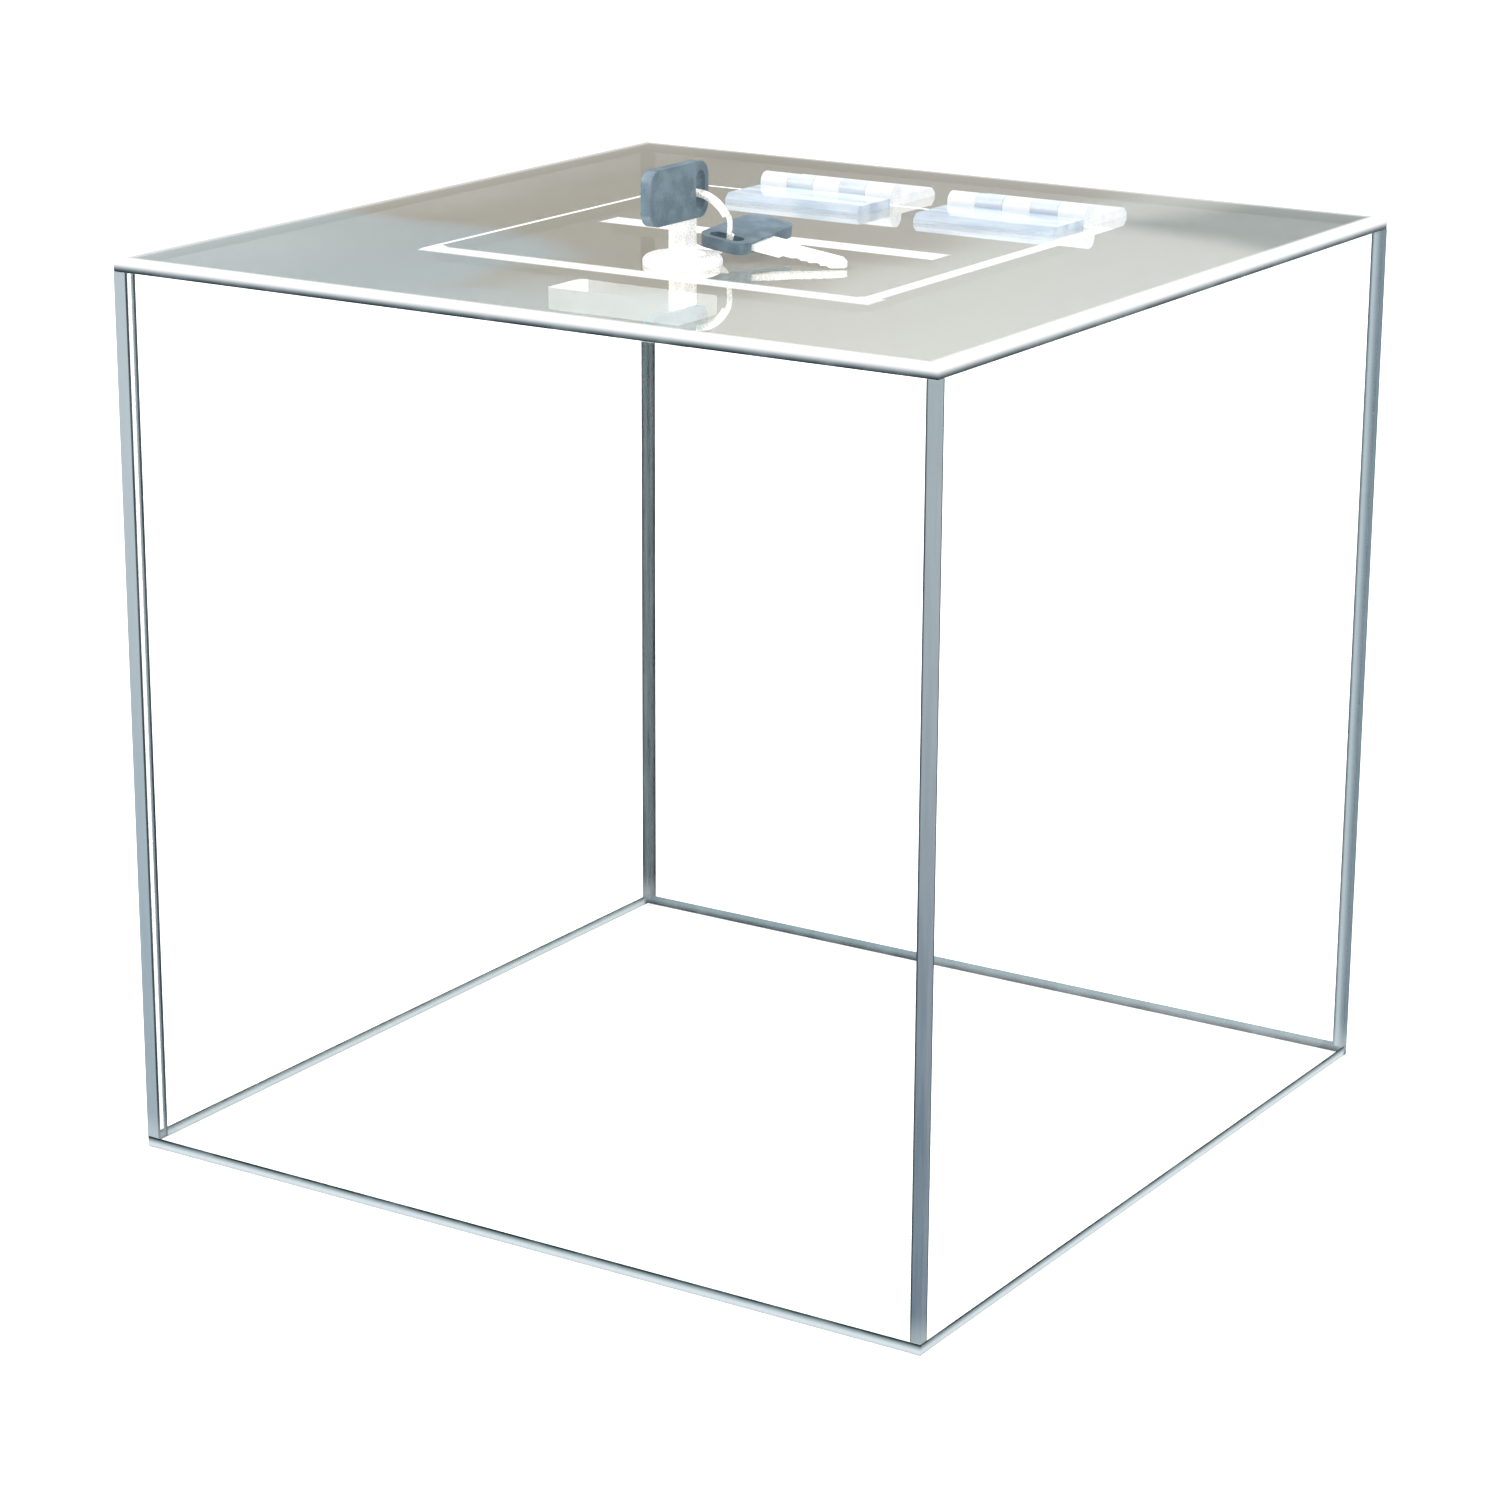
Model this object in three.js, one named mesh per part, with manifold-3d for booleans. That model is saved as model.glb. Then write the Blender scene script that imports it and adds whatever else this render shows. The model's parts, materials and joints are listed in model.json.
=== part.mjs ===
// A clear acrylic display cube with a hinged, lockable trap door in its top.
// Millimetres, +Z up, origin at the centre of the underside. The door hinges along X at the back
// and swings up; the cam lock at its front carries one key, a split ring and a second key.

import * as THREE from 'three';
import { mergeVertices } from 'three/addons/utils/BufferGeometryUtils.js';
import Module from 'manifold-3d';

const wasm = await Module();
wasm.setup();

// Case: full-size top and base sheets, front and back walls across the full width, sides between.
const CUBE = 254;
const SHEET = 3.2;

// How far a joined or cutting solid runs past the face that it meets.
const OVERLAP = 1;

// Trap door, centred in the top, and the slot cut through it.
const DOOR_X = 137;
const DOOR_Y = 130;
const DOOR_CORNER = 4;
const DOOR_GAP = 1;
const SLOT_LENGTH = 105;
const SLOT_WIDTH = 6;
const SLOT_CORNER = 2.99;

// Two bonded acrylic hinges with five knuckles each, on top of the sheets.
const HINGE_LENGTH = 44.4;
const HINGE_CENTRES = { hinge_left: -21, hinge_right: 42 };
const HINGE_LEAF_DEPTH = 21.4;
const HINGE_LEAF_THICK = 2.6;
const HINGE_BEVEL = 1.6;
const HINGE_KNUCKLES = 5;
const HINGE_SIDE_GAP = 0.3;
const BARREL_R = 3;
const BARREL_LIFT = 0.2;
const PIN_R = 1;
const PIN_BORE_R = 1.3;
const HINGE_Y = DOOR_Y / 2 + DOOR_GAP / 2;
const HINGE_Z = CUBE + BARREL_R + BARREL_LIFT;
const LEAF_NEAR = BARREL_R + 0.6;

// Cam lock, with heights measured from the top face of the door.
const LOCK_X = 2;
const LOCK_Y = -47;
const BEZEL_R = 10.7;
const BEZEL_HEIGHT = 2.8;
const BEZEL_SHOULDER = [[0, 1], [0.4, 1.7], [1.3, 2.4], [2.6, BEZEL_HEIGHT]];
const BORE_LEAD = 0.7;
const BARREL_LENGTH = 16;
const THREAD_R = 8;
const FLATS_HALF = 7;
const FIT_GAP = 0.3;
const PLUG_R = 5.3;
const PLUG_FACE = 2.2;
const PLUG_BORE_R = 5.5;
const SPUR_COUNT = 12;
const SPUR_TIP_R = BEZEL_R - 0.4;
const SPUR_ROOT_R = BEZEL_R - 1.6;
const NUT_FLATS = 20;
const NUT_HEIGHT = 4;
const WASHER_THICK = 0.8;
const CAM_THICK = 2;
const CAM_LENGTH = 34;
const CAM_WIDTH = 16;
const CAM_TIP_TOP = -10;
const CAM_CORNER = 7.5;
const CAM_RAMP_START = -14;
const CAM_RAMP_END = -19;
const CAM_RAMP_SHIFT = 0.8;
const TAIL_HALF = 2.8;
const SCREW_R = 1.7;
const SCREW_LENGTH = 4.2;
const SCREW_CHAMFER = 0.4;
const SCREW_HEAD_R = 4;
const SCREW_RIM_HEIGHT = 1.4;
const SCREW_HEAD_HEIGHT = 2.4;
const SCREW_CROWN_INSET = 1.2;
const RECESS_HALF_LENGTH = 2.2;
const RECESS_HALF_WIDTH = 0.5;
const RECESS_DEPTH = 1.2;
const LOCK_ARC = THREE.MathUtils.degToRad(90);
const STOP_SLACK = THREE.MathUtils.degToRad(12);
const SPRING_GAP = THREE.MathUtils.degToRad(8);
const SPRING_INNER_R = 2.2;

// Keeper block, bonded under the front strip of the top, with a lip that carries the door.
const KEEPER_X = 41;
const KEEPER_HEIGHT = 6;
const KEEPER_FRONT = -80;
const KEEPER_BACK = -61.6;

// Keys. A key's own origin is the foot of its neck, its blade runs down -Z and its bow is up +Z.
const KEY_SEAT = 3.1;
const BLADE_THICK = 1.6;
const BLADE_HALF = 3.4;
const BLADE_LENGTH = 17.5;
const NECK_HALF = 5.5;
const NECK_HEIGHT = 8.7;
const SHANK_HALF = 3;
const SHANK_HEIGHT = 8;
const BOW_THICK = 3.2;
const BOW_HEIGHT = 15;
const BOW_LOW_Y = -17.6;
const BOW_HIGH_Y = 10;
const BOW_CORNER = 4;
const POCKET_GAP = 0.2;
const EYE_Y = 6.1;
const EYE_WIDTH = 4.2;
const EYE_LENGTH = 10;
const EYE_CORNER = 1.9;
const EYE_Z = NECK_HEIGHT + BOW_HEIGHT / 2;
const TIP_HALF = 0.6;
const TIP_BACK_RISE = 3;
const TIP_CUT_RISE = 2.6;
const CUT_PITCH = 3;
const FIRST_CUT = 4;
const CUT_FLAT_HALF = 0.3;
const CUT_DEPTHS = [1, 0.6, 1.3, 0.8];

// Split ring, leaning back from the first key's eye to the door.
const RING_R = 9;
const RING_RADIAL = 1.4;
const RING_AXIAL = 2.4;
const RING_CHAMFER = 0.4;
const RING_LEAN = THREE.MathUtils.degToRad(20);
const RING_FLOOR_GAP = 0.3;

// The second key lies on the door: its bow end is propped on the ring and its tip is down.
const KEY_2_TILT = THREE.MathUtils.degToRad(7);
const KEY_2_ROLL = THREE.MathUtils.degToRad(4);
const KEY_2_LIFT = 3.37;
const KEY_2_X = 24.9;
const KEY_2_BEHIND_RING = 4.95;

// ---------------------------------------------------------------- materials

function material(colour, roughness, metalness) {
  return new THREE.MeshStandardMaterial({ color: colour, roughness, metalness });
}

const acrylic = () => material(0xdfeef0, 0.05, 0);
const hingeAcrylic = () => material(0xe9f3f8, 0.12, 0);
const nickel = () => material(0xc9c9c6, 0.25, 1);
const zinc = () => material(0xb4b8bb, 0.35, 1);
const brass = () => material(0xc9a95c, 0.35, 1);
const keyPlastic = () => material(0x2b3f4c, 0.45, 0);

// ------------------------------------------------------------------ solids

function toSolid(geometry) {
  const bare = geometry.index ? geometry.clone() : geometry;
  bare.deleteAttribute('normal');
  bare.deleteAttribute('uv');
  const merged = mergeVertices(bare, 1e-5);
  return new wasm.Manifold(new wasm.Mesh({
    numProp: 3,
    vertProperties: new Float32Array(merged.attributes.position.array),
    triVerts: new Uint32Array(merged.index.array),
  }));
}

function toGeometry(solid) {
  const mesh = solid.getMesh();
  const geometry = new THREE.BufferGeometry();
  geometry.setAttribute('position', new THREE.BufferAttribute(new Float32Array(mesh.vertProperties), 3));
  geometry.setIndex(new THREE.BufferAttribute(new Uint32Array(mesh.triVerts), 1));
  geometry.computeVertexNormals();
  return geometry;
}

function join(...geometries) {
  return toGeometry(geometries.map(toSolid).reduce((a, b) => a.add(b)));
}

function cut(geometry, ...tools) {
  return toGeometry(tools.map(toSolid).reduce((a, b) => a.subtract(b), toSolid(geometry)));
}

function common(a, b) {
  return toGeometry(toSolid(a).intersect(toSolid(b)));
}

// A box given by its low and high corners.
function block(low, high) {
  const size = low.map((v, i) => high[i] - v);
  const mid = low.map((v, i) => (high[i] + v) / 2);
  return new THREE.BoxGeometry(...size).translate(...mid);
}

function rod(radius, low, high, segments = 48) {
  const geometry = new THREE.CylinderGeometry(radius, radius, high - low, segments);
  return geometry.rotateX(Math.PI / 2).translate(0, 0, (low + high) / 2);
}

// A solid of revolution about Z from a closed loop of [radius, height] points.
function turned(loop, segments = 48) {
  const points = [...loop, loop[0]].map(([r, z]) => new THREE.Vector2(r, z));
  return new THREE.LatheGeometry(points, segments).rotateX(Math.PI / 2);
}

// ---------------------------------------------------------------- outlines

function polygon(points) {
  return new THREE.Shape(points.map(([x, y]) => new THREE.Vector2(x, y)));
}

function roundedRect(lowX, lowY, highX, highY, radius, Kind = THREE.Shape) {
  const quarter = Math.PI / 2;
  const path = new Kind();
  path.moveTo(lowX + radius, lowY);
  path.absarc(highX - radius, lowY + radius, radius, -quarter, 0);
  path.absarc(highX - radius, highY - radius, radius, 0, quarter);
  path.absarc(lowX + radius, highY - radius, radius, quarter, 2 * quarter);
  path.absarc(lowX + radius, lowY + radius, radius, 2 * quarter, 3 * quarter);
  path.closePath();
  return path;
}

function centredRect(width, depth, radius, Kind) {
  return roundedRect(-width / 2, -depth / 2, width / 2, depth / 2, radius, Kind);
}

// A prism along Z between two heights.
function prism(shape, low, high, curveSegments = 12) {
  const settings = { depth: high - low, bevelEnabled: false, curveSegments };
  return new THREE.ExtrudeGeometry(shape, settings).translate(0, 0, low);
}

// A prism along X whose outline is drawn in Y and Z.
function prismAlongX(shape, low, high, curveSegments = 12) {
  const turn = new THREE.Matrix4().makeBasis(
    new THREE.Vector3(0, 1, 0), new THREE.Vector3(0, 0, 1), new THREE.Vector3(1, 0, 0));
  return prism(shape, low, high, curveSegments).applyMatrix4(turn);
}

// A prism along Y, centred on it, whose outline is drawn in X and Z.
function prismAlongY(shape, width) {
  const turn = new THREE.Matrix4().makeBasis(
    new THREE.Vector3(1, 0, 0), new THREE.Vector3(0, 0, 1), new THREE.Vector3(0, -1, 0));
  return prism(shape, -width / 2, width / 2).applyMatrix4(turn);
}

// -------------------------------------------------------------------- case

function namedMesh(name, geometry, finish) {
  const mesh = new THREE.Mesh(geometry, finish());
  mesh.name = name;
  return mesh;
}

function makeTopPanel() {
  const edge = CUBE / 2;
  const outline = polygon([[-edge, -edge], [edge, -edge], [edge, edge], [-edge, edge]]);
  outline.holes.push(centredRect(
    DOOR_X + 2 * DOOR_GAP, DOOR_Y + 2 * DOOR_GAP, DOOR_CORNER + DOOR_GAP, THREE.Path));
  return prism(outline, CUBE - SHEET, CUBE);
}

function makeCase() {
  const half = CUBE / 2;
  const inner = half - SHEET;
  const top = CUBE - SHEET;
  const group = new THREE.Group();
  group.add(
    namedMesh('base_panel', block([-half, -half, 0], [half, half, SHEET]), acrylic),
    namedMesh('front_wall', block([-half, -half, SHEET], [half, -inner, top]), acrylic),
    namedMesh('back_wall', block([-half, inner, SHEET], [half, half, top]), acrylic),
    namedMesh('left_wall', block([-half, -inner, SHEET], [-inner, inner, top]), acrylic),
    namedMesh('right_wall', block([inner, -inner, SHEET], [half, inner, top]), acrylic),
    namedMesh('top_panel', makeTopPanel(), acrylic),
    namedMesh('lock_keeper', makeKeeper(), acrylic),
  );
  return group;
}

function makeKeeper() {
  const top = CUBE - SHEET;
  return block(
    [LOCK_X - KEEPER_X / 2, KEEPER_FRONT, top - KEEPER_HEIGHT],
    [LOCK_X + KEEPER_X / 2, KEEPER_BACK, top]);
}

function makeDoorPanel() {
  const outline = centredRect(DOOR_X, DOOR_Y, DOOR_CORNER);
  outline.holes.push(centredRect(SLOT_LENGTH, SLOT_WIDTH, SLOT_CORNER, THREE.Path));
  const lockHole = rodOutline(THREAD_R + FIT_GAP, LOCK_X, LOCK_Y);
  outline.holes.push(lockHole);
  return prism(outline, CUBE - SHEET, CUBE);
}

function rodOutline(radius, x, y) {
  const path = new THREE.Path();
  path.absarc(x, y, radius, 0, 2 * Math.PI);
  return path;
}

// ------------------------------------------------------------------ hinges

// One leaf, drawn with its hinge axis on the origin; side is -1 for the door and 1 for the case.
// The case leaf carries the first, third and fifth knuckles, the door leaf the two between.
function makeLeaf(side) {
  const floor = CUBE - HINGE_Z;
  const far = LEAF_NEAR + HINGE_LEAF_DEPTH - BARREL_R;
  const half = HINGE_LENGTH / 2;
  const plate = polygon([
    [side * LEAF_NEAR, floor],
    [side * far, floor],
    [side * far, floor + HINGE_LEAF_THICK - HINGE_BEVEL],
    [side * (far - HINGE_BEVEL), floor + HINGE_LEAF_THICK],
    [side * LEAF_NEAR, floor + HINGE_LEAF_THICK],
  ]);
  const pitch = HINGE_LENGTH / HINGE_KNUCKLES;
  const pieces = [prismAlongX(plate, -half, half)];
  for (let i = side > 0 ? 0 : 1; i < HINGE_KNUCKLES; i += 2) {
    const low = -half + i * pitch + (i > 0 ? HINGE_SIDE_GAP / 2 : 0);
    const high = -half + (i + 1) * pitch - (i < HINGE_KNUCKLES - 1 ? HINGE_SIDE_GAP / 2 : 0);
    const knuckle = rod(BARREL_R, low, high, 32).rotateY(Math.PI / 2);
    const reach = [side * (LEAF_NEAR + OVERLAP), 0].sort((a, b) => a - b);
    const web = block(
      [low, reach[0], floor + BARREL_LIFT], [high, reach[1], floor + HINGE_LEAF_THICK]);
    pieces.push(knuckle, web);
  }
  const bore = rod(PIN_BORE_R, -half - OVERLAP, half + OVERLAP, 24).rotateY(Math.PI / 2);
  return cut(join(...pieces), bore);
}

function makeHinge(name, x) {
  const half = HINGE_LENGTH / 2;
  const pin = rod(PIN_R, -half, half, 24).rotateY(Math.PI / 2);
  const group = new THREE.Group();
  group.position.set(x, HINGE_Y, HINGE_Z);
  group.add(
    namedMesh(`${name}_case_leaf`, makeLeaf(1), hingeAcrylic),
    namedMesh(`${name}_door_leaf`, makeLeaf(-1), hingeAcrylic),
    namedMesh(`${name}_pin`, pin, hingeAcrylic),
  );
  return group;
}

// -------------------------------------------------------------------- lock

const STOP_TOP = -BARREL_LENGTH - FIT_GAP;
const CAM_TOP = STOP_TOP - WASHER_THICK;
const SPRING_TOP = CAM_TOP - CAM_THICK;
const HEAD_TOP = SPRING_TOP - WASHER_THICK;
const STOP_INNER_R = 5.6;
const LUG_R = 6.9;
const LUG_HALF = 0.9;
const LUG_ANGLE = Math.PI / 4;

// Bezel and barrel in one die casting, with the stop lug on the barrel's end.
function makeLockBody() {
  const profile = [
    [PLUG_BORE_R, -BARREL_LENGTH], [THREAD_R, -BARREL_LENGTH], [THREAD_R, 0], [BEZEL_R, 0],
    ...BEZEL_SHOULDER.map(([inset, height]) => [BEZEL_R - inset, height]),
    [PLUG_BORE_R + BORE_LEAD, BEZEL_HEIGHT], [PLUG_BORE_R, PLUG_FACE],
  ];
  const past = THREAD_R + OVERLAP;
  const flat = block(
    [FLATS_HALF, -past, -BARREL_LENGTH - OVERLAP], [past, past, -SHEET - WASHER_THICK]);
  const lug = block(
    [LUG_R - LUG_HALF, -LUG_HALF, -BARREL_LENGTH - FIT_GAP - WASHER_THICK],
    [LUG_R + LUG_HALF, LUG_HALF, -BARREL_LENGTH + OVERLAP]).rotateZ(LUG_ANGLE);
  return join(cut(turned(profile), flat, flat.clone().rotateZ(Math.PI)), lug);
}

function makeSpurWasher() {
  const points = [];
  for (let i = 0; i < 2 * SPUR_COUNT; i += 1) {
    const radius = i % 2 ? SPUR_ROOT_R : SPUR_TIP_R;
    const angle = (i * Math.PI) / SPUR_COUNT;
    points.push([radius * Math.cos(angle), radius * Math.sin(angle)]);
  }
  const outline = polygon(points);
  outline.holes.push(rodOutline(THREAD_R + FIT_GAP, 0, 0));
  return prism(outline, -SHEET - WASHER_THICK, -SHEET);
}

function makeNut() {
  const corner = NUT_FLATS / Math.sqrt(3);
  const points = [];
  for (let i = 0; i < 6; i += 1) {
    points.push([corner * Math.cos((i * Math.PI) / 3), corner * Math.sin((i * Math.PI) / 3)]);
  }
  const outline = polygon(points);
  outline.holes.push(rodOutline(THREAD_R + FIT_GAP, 0, 0));
  const top = -SHEET - WASHER_THICK;
  return prism(outline, top - NUT_HEIGHT, top);
}

const WAFER_HEIGHTS = CUT_DEPTHS.map((_, i) => KEY_SEAT - FIRST_CUT - i * CUT_PITCH);
const WAFER_HALF_X = 2.7;
const WAFER_HALF_Y = 4.4;
const WAFER_CORNER = 0.6;
const WAFER_SLOT_CORNER = 0.3;
const KEYWAY_HALF_X = BLADE_THICK / 2 + FIT_GAP;
const KEYWAY_HALF_Y = BLADE_HALF + FIT_GAP;

function makePlug() {
  const keyway = block(
    [-KEYWAY_HALF_X, -KEYWAY_HALF_Y, KEY_SEAT - BLADE_LENGTH - FIT_GAP],
    [KEYWAY_HALF_X, KEYWAY_HALF_Y, PLUG_FACE + OVERLAP]);
  const waferSlots = WAFER_HEIGHTS.map((z) => block(
    [-WAFER_HALF_X - FIT_GAP, -WAFER_HALF_Y - FIT_GAP, z - WASHER_THICK / 2 - FIT_GAP],
    [WAFER_HALF_X + FIT_GAP, WAFER_HALF_Y + FIT_GAP, z + WASHER_THICK / 2 + FIT_GAP]));
  const screwHole = rod(
    SCREW_R + FIT_GAP, SPRING_TOP - OVERLAP, HEAD_TOP + SCREW_LENGTH + FIT_GAP, 24);
  const tail = block(
    [-TAIL_HALF, -TAIL_HALF, SPRING_TOP + FIT_GAP],
    [TAIL_HALF, TAIL_HALF, -BARREL_LENGTH + OVERLAP]);
  const body = rod(PLUG_R, -BARREL_LENGTH, PLUG_FACE);
  return cut(join(body, tail), keyway, ...waferSlots, screwHole);
}

function makeWafer(z) {
  const outline = centredRect(2 * WAFER_HALF_X, 2 * WAFER_HALF_Y, WAFER_CORNER);
  outline.holes.push(centredRect(
    2 * KEYWAY_HALF_X, 2 * KEYWAY_HALF_Y, WAFER_SLOT_CORNER, THREE.Path));
  return prism(outline, z - WASHER_THICK / 2, z + WASHER_THICK / 2, 3);
}

// The square hole that sits on the plug's tail.
function tailHole(low, high) {
  const half = TAIL_HALF + FIT_GAP;
  return block([-half, -half, low - OVERLAP], [half, half, high + OVERLAP]);
}

// A disc with an arc notched out of its rim, so that the lug lets it turn through LOCK_ARC.
function makeStopWasher() {
  const start = LUG_ANGLE + STOP_SLACK;
  const end = LUG_ANGLE - STOP_SLACK - LOCK_ARC + 2 * Math.PI;
  const outline = new THREE.Shape();
  outline.absarc(0, 0, THREAD_R, start, end);
  outline.absarc(0, 0, STOP_INNER_R, end - 2 * Math.PI, start);
  outline.closePath();
  const disc = prism(outline, CAM_TOP, STOP_TOP);
  return cut(disc, tailHole(CAM_TOP, STOP_TOP));
}

// A cranked cam that points along -X, its tip raised towards the door.
function makeCam() {
  const hub = CAM_WIDTH / 2;
  const under = CAM_TOP - CAM_THICK;
  const tipUnder = CAM_TIP_TOP - CAM_THICK;
  const side = polygon([
    [hub, CAM_TOP], [hub, under], [CAM_RAMP_START - CAM_RAMP_SHIFT, under],
    [CAM_RAMP_END - CAM_RAMP_SHIFT, tipUnder], [-CAM_LENGTH, tipUnder],
    [-CAM_LENGTH, CAM_TIP_TOP], [CAM_RAMP_END, CAM_TIP_TOP], [CAM_RAMP_START, CAM_TOP],
  ]);
  const plan = roundedRect(-CAM_LENGTH, -hub, hub, hub, CAM_CORNER);
  const blank = common(prismAlongY(side, CAM_WIDTH + OVERLAP), prism(plan, under - OVERLAP, 0));
  return cut(blank, tailHole(CAM_TOP - CAM_THICK, CAM_TOP));
}

function makeSpringWasher() {
  const start = SPRING_GAP;
  const end = 2 * Math.PI - SPRING_GAP;
  const outline = new THREE.Shape();
  outline.absarc(0, 0, SCREW_HEAD_R, start, end);
  outline.absarc(0, 0, SPRING_INNER_R, end, start, true);
  outline.closePath();
  return prism(outline, HEAD_TOP, SPRING_TOP);
}

function makeCamScrew() {
  const shankTop = HEAD_TOP + SCREW_LENGTH;
  const rim = HEAD_TOP - SCREW_RIM_HEIGHT;
  const crown = HEAD_TOP - SCREW_HEAD_HEIGHT;
  const loop = [
    [0, shankTop], [SCREW_R - SCREW_CHAMFER, shankTop], [SCREW_R, shankTop - SCREW_CHAMFER],
    [SCREW_R, HEAD_TOP], [SCREW_HEAD_R, HEAD_TOP], [SCREW_HEAD_R, rim],
    [SCREW_HEAD_R - SCREW_CROWN_INSET, crown], [0, crown],
  ];
  const points = loop.map(([r, z]) => new THREE.Vector2(r, z)).reverse();
  const body = new THREE.LatheGeometry(points, 32).rotateX(Math.PI / 2);
  const recess = [0, Math.PI / 2].map((turn) => block(
    [-RECESS_HALF_LENGTH, -RECESS_HALF_WIDTH, crown - OVERLAP],
    [RECESS_HALF_LENGTH, RECESS_HALF_WIDTH, crown + RECESS_DEPTH]).rotateZ(turn));
  return cut(body, ...recess);
}

function makeLock() {
  const group = new THREE.Group();
  group.position.set(LOCK_X, LOCK_Y, CUBE);
  group.add(
    namedMesh('lock_body', makeLockBody(), nickel),
    namedMesh('lock_spur_washer', makeSpurWasher(), zinc),
    namedMesh('lock_nut', makeNut(), zinc),
    namedMesh('lock_plug', makePlug(), nickel),
    namedMesh('lock_stop_washer', makeStopWasher(), zinc),
    namedMesh('lock_cam', makeCam(), zinc),
    namedMesh('cam_spring_washer', makeSpringWasher(), zinc),
    namedMesh('cam_screw', makeCamScrew(), zinc),
  );
  WAFER_HEIGHTS.forEach((z, i) => {
    group.add(namedMesh(`lock_wafer_${i + 1}`, makeWafer(z), brass));
  });
  return group;
}

// -------------------------------------------------------------------- keys

// Neck, blade and the shank that the bow is moulded round, cut from one flat blank.
function makeBlade() {
  const tip = -BLADE_LENGTH;
  const bowFoot = NECK_HEIGHT;
  const shankTop = bowFoot + SHANK_HEIGHT;
  const outline = [
    [-SHANK_HALF, shankTop], [-SHANK_HALF, bowFoot], [-NECK_HALF, bowFoot], [-NECK_HALF, 0],
    [-BLADE_HALF, 0], [-BLADE_HALF, tip + TIP_BACK_RISE], [-TIP_HALF, tip], [TIP_HALF, tip],
    [BLADE_HALF, tip + TIP_CUT_RISE],
  ];
  [...CUT_DEPTHS].reverse().forEach((depth, i) => {
    const middle = -FIRST_CUT - (CUT_DEPTHS.length - 1 - i) * CUT_PITCH;
    outline.push(
      [BLADE_HALF, middle - CUT_FLAT_HALF - depth], [BLADE_HALF - depth, middle - CUT_FLAT_HALF],
      [BLADE_HALF - depth, middle + CUT_FLAT_HALF], [BLADE_HALF, middle + CUT_FLAT_HALF + depth]);
  });
  outline.push([BLADE_HALF, 0], [NECK_HALF, 0], [NECK_HALF, bowFoot], [SHANK_HALF, bowFoot]);
  outline.push([SHANK_HALF, shankTop]);
  return prismAlongX(polygon(outline), -BLADE_THICK / 2, BLADE_THICK / 2);
}

function makeBow() {
  const outline = roundedRect(
    BOW_LOW_Y, NECK_HEIGHT, BOW_HIGH_Y, NECK_HEIGHT + BOW_HEIGHT, BOW_CORNER);
  outline.holes.push(roundedRect(
    EYE_Y - EYE_WIDTH / 2, EYE_Z - EYE_LENGTH / 2,
    EYE_Y + EYE_WIDTH / 2, EYE_Z + EYE_LENGTH / 2, EYE_CORNER, THREE.Path));
  const bow = prismAlongX(outline, -BOW_THICK / 2, BOW_THICK / 2, 8);
  const halfX = BLADE_THICK / 2 + POCKET_GAP;
  const halfY = SHANK_HALF + POCKET_GAP;
  const pocket = block(
    [-halfX, -halfY, NECK_HEIGHT - OVERLAP],
    [halfX, halfY, NECK_HEIGHT + SHANK_HEIGHT + POCKET_GAP]);
  return cut(bow, pocket);
}

function makeKey(name) {
  const group = new THREE.Group();
  group.add(
    namedMesh(`${name}_blade`, makeBlade(), nickel),
    namedMesh(`${name}_bow`, makeBow(), keyPlastic),
  );
  return group;
}

// The ring hangs in the first key's eye; its lowest point just clears the door.
const RING_DROP = 2 * RING_R * Math.cos(RING_LEAN);
const RING_FOOT = (RING_RADIAL * Math.cos(RING_LEAN) + RING_AXIAL * Math.sin(RING_LEAN)) / 2;
const RING_EYE = new THREE.Vector3(
  LOCK_X, LOCK_Y + EYE_Y, CUBE + RING_DROP + RING_FOOT + RING_FLOOR_GAP);

function makeRing() {
  const radial = RING_RADIAL / 2;
  const axial = RING_AXIAL / 2;
  const loop = [
    [RING_R - radial, -axial + RING_CHAMFER], [RING_R - radial + RING_CHAMFER, -axial],
    [RING_R + radial - RING_CHAMFER, -axial], [RING_R + radial, -axial + RING_CHAMFER],
    [RING_R + radial, axial - RING_CHAMFER], [RING_R + radial - RING_CHAMFER, axial],
    [RING_R - radial + RING_CHAMFER, axial], [RING_R - radial, axial - RING_CHAMFER],
  ];
  const points = [...loop, loop[0]].map(([r, y]) => new THREE.Vector2(r, y));
  const ring = namedMesh('key_ring', new THREE.LatheGeometry(points, 64), nickel);
  ring.rotation.x = RING_LEAN;
  ring.position.copy(RING_EYE);
  ring.position.y += RING_R * Math.sin(RING_LEAN);
  ring.position.z -= RING_R * Math.cos(RING_LEAN);
  return ring;
}

// Blade towards +X and the eye towards -Y, tilted so that the tip is down.
function layKey(key) {
  const flat = new THREE.Matrix4().makeBasis(
    new THREE.Vector3(0, 0, -1), new THREE.Vector3(0, -1, 0), new THREE.Vector3(-1, 0, 0));
  const roll = new THREE.Matrix4().makeRotationX(KEY_2_ROLL);
  const tilt = new THREE.Matrix4().makeRotationY(KEY_2_TILT);
  key.quaternion.setFromRotationMatrix(roll.multiply(tilt).multiply(flat));
  const ringFootY = RING_EYE.y + 2 * RING_R * Math.sin(RING_LEAN);
  key.position.set(KEY_2_X, ringFootY + KEY_2_BEHIND_RING, CUBE + KEY_2_LIFT);
  return key;
}

function makeKeys() {
  const first = makeKey('key_1');
  first.position.set(LOCK_X, LOCK_Y, CUBE + KEY_SEAT);
  const group = new THREE.Group();
  group.add(first, makeRing(), layKey(makeKey('key_2')));
  return group;
}

// ---------------------------------------------------------------- assembly

const cube = new THREE.Group();
cube.add(makeCase());
cube.add(namedMesh('door_panel', makeDoorPanel(), acrylic));
for (const [name, x] of Object.entries(HINGE_CENTRES)) {
  cube.add(makeHinge(name, x));
}
cube.add(makeLock(), makeKeys());

export default cube;
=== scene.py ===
import json
import math

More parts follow.
